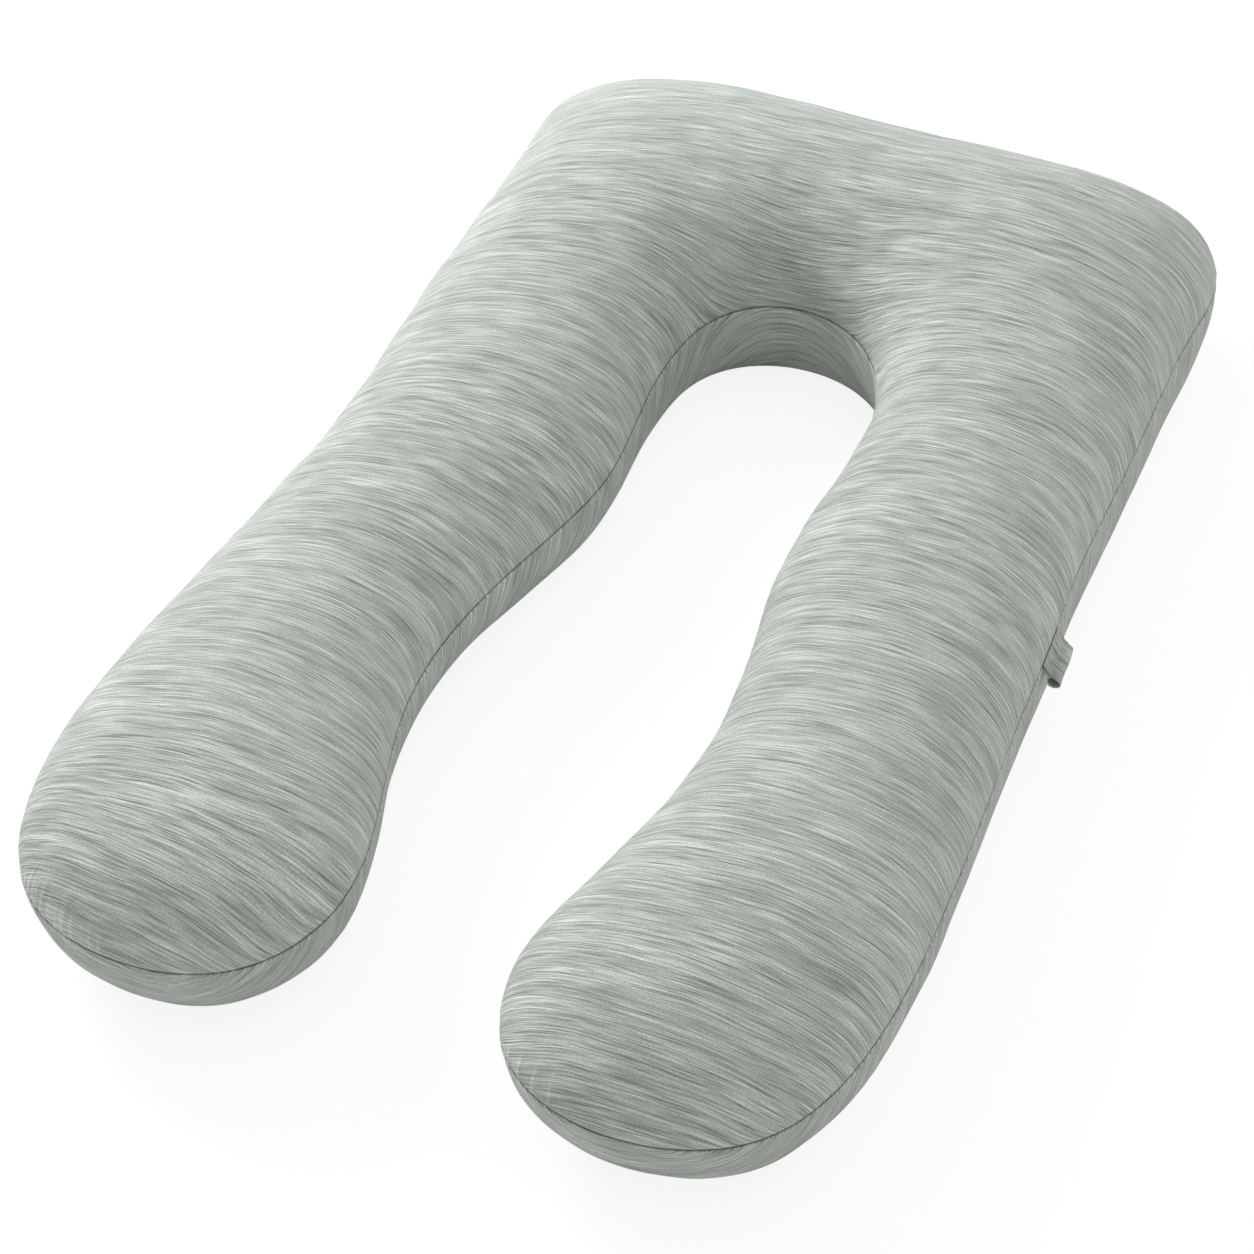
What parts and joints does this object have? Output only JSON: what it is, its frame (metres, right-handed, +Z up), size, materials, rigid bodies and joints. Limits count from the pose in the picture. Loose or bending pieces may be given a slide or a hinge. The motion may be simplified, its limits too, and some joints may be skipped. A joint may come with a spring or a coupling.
{
  "type": "pregnancy pillow",
  "caption": "U-shaped stuffed body pillow in heathered jersey, with a broad head bar, long wavy legs with round ends, a side seam and a small loop tab.",
  "frame": {"origin": "middle of the bounding box at its bottom, on the surface that the pillow lies on", "axes": "+Y from the leg ends to the head bar, +X to the side that carries the loop tab, +Z up from the surface"},
  "size_m": [0.8198, 1.4498, 0.2205],
  "materials": {
    "jersey": "heathered grey-green knit, matt with a faint sheen",
    "tab_jersey": "the same heathered knit, a shade darker"
  },
  "bodies": {
    "root": {"pillow": "jersey", "loop_tab": "tab_jersey"}
  },
  "joints": []
}
